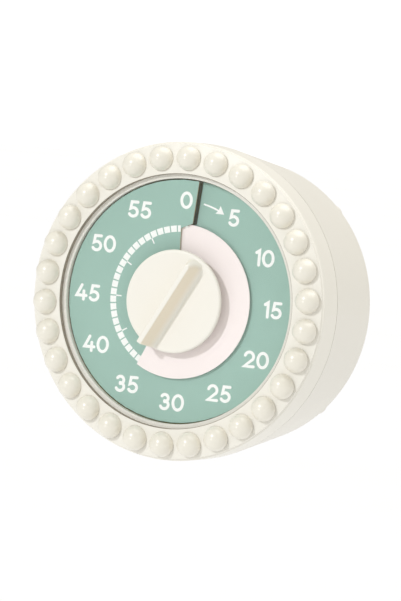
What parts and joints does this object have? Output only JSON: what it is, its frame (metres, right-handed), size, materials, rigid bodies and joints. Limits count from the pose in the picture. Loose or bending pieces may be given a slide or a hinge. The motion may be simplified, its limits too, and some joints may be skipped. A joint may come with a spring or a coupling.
{
  "type": "kitchen timer",
  "caption": "Round wind-up kitchen timer: beaded bezel, turning knob and a disc that threads through a slit dial to show the time left.",
  "frame": {"origin": "centre of the flat back face, on the dial's axis", "axes": "-Y out of the dial towards the user, +Z towards the dial's 12 o'clock, +X to the right of the dial"},
  "size_m": [0.082, 0.048, 0.082],
  "materials": {
    "case_plastic": "fine satin ivory",
    "bead_plastic": "glossy pearl",
    "clear_lens": "clear, polished",
    "dial_enamel": "matt sage green with white print",
    "marker_plastic": "pale blush, matt",
    "tray_plastic": "dark olive, matt",
    "steel": "turned",
    "spring_steel": "blued",
    "brass": "stamped",
    "screw_steel": "zinc plated",
    "magnet_ferrite": "dark sintered",
    "bell_steel": "polished"
  },
  "bodies": {
    "case": {"bezel_ring": "case_plastic", "pearl_beads": "bead_plastic", "lens": "clear_lens", "dial_tray": "tray_plastic", "dial_plate": "dial_enamel", "rear_housing": "case_plastic", "housing_screws": "screw_steel", "magnets": "magnet_ferrite", "front_plate": "brass", "rear_plate": "brass", "pillars": "steel", "pillar_screws": "screw_steel", "movement_screws": "screw_steel", "front_bush": "brass", "rear_bush": "brass", "mainspring": "spring_steel", "spring_post": "steel", "gong": "bell_steel", "gong_stud": "steel", "gong_nut": "screw_steel", "lever_post": "steel", "hammer_spring": "spring_steel"},
    "setting_shaft": {"knob": "case_plastic", "main_arbor": "steel", "spring_collet": "steel", "main_wheel": "brass", "ratchet_wheel": "steel", "click_spring": "spring_steel", "click_rivet": "brass", "strike_cam": "steel", "arbor_clip": "steel"},
    "click": {"ratchet_click": "steel"},
    "time_marker": {"time_disc": "marker_plastic", "disc_hub": "marker_plastic"},
    "second_gear": {"second_arbor": "steel", "second_pinion": "steel", "second_wheel": "brass"},
    "third_gear": {"third_arbor": "steel", "third_pinion": "steel", "third_wheel": "brass"},
    "escape_gear": {"escape_arbor": "steel", "escape_pinion": "steel", "escape_wheel": "brass"},
    "regulator": {"anchor_arbor": "steel", "anchor": "steel", "inertia_ring": "brass"},
    "hammer": {"hammer_arbor": "steel", "hammer_arm": "steel", "hammer_head": "brass", "hammer_tail": "steel"},
    "lever": {"strike_lever": "steel"}
  },
  "joints": [
    {"name": "setting_turn", "type": "hinge", "parent": "case", "child": "setting_shaft", "pos_m": [0, -0.02, 0], "axis": [0, 1, 0], "range_deg": [-210, 150]},
    {"name": "marker_travel", "type": "slide", "parent": "setting_shaft", "child": "time_marker", "axis": [0, -1, 0], "range_m": [-0.00093, 0.00067]},
    {"name": "second_spin", "type": "hinge", "parent": "case", "child": "second_gear", "pos_m": [-0.01455, -0.02, 0.0084], "axis": [0, 1, 0], "range_deg": [-900, 1260]},
    {"name": "third_spin", "type": "hinge", "parent": "case", "child": "third_gear", "pos_m": [-0.00586, -0.02, 0.01596], "axis": [0, 1, 0], "range_deg": [-10080, 7200]},
    {"name": "escape_spin", "type": "hinge", "parent": "case", "child": "escape_gear", "pos_m": [0.00417, -0.02, 0.017], "axis": [0, 1, 0], "range_deg": [-57600, 80640]},
    {"name": "regulator_swing", "type": "hinge", "parent": "case", "child": "regulator", "pos_m": [0.01037, -0.02, 0.0159], "axis": [0, 1, 0], "range_deg": [-4, 4]},
    {"name": "click_lift", "type": "hinge", "parent": "setting_shaft", "child": "click", "pos_m": [0.00705, -0.021, -0.00591], "axis": [0, 1, 0], "range_deg": [0, 6], "stiffness_Nm_per_rad": 0.0002, "springref_deg": -5.73},
    {"name": "hammer_swing", "type": "hinge", "parent": "case", "child": "hammer", "pos_m": [-0.022, -0.015, -0.008], "axis": [0, 1, 0], "range_deg": [-4, 8]},
    {"name": "lever_swing", "type": "hinge", "parent": "case", "child": "lever", "pos_m": [-0.0115, -0.015, -0.0135], "axis": [0, 1, 0], "range_deg": [-8, 4]}
  ],
  "couplings": [
    {"joint": "marker_travel", "follows": "setting_turn", "m_per_rad": 0.00025465},
    {"joint": "second_spin", "follows": "setting_turn", "ratio": -6},
    {"joint": "third_spin", "follows": "setting_turn", "ratio": 48},
    {"joint": "escape_spin", "follows": "setting_turn", "ratio": -384},
    {"joint": "lever_swing", "follows": "hammer_swing", "ratio": -1}
  ]
}
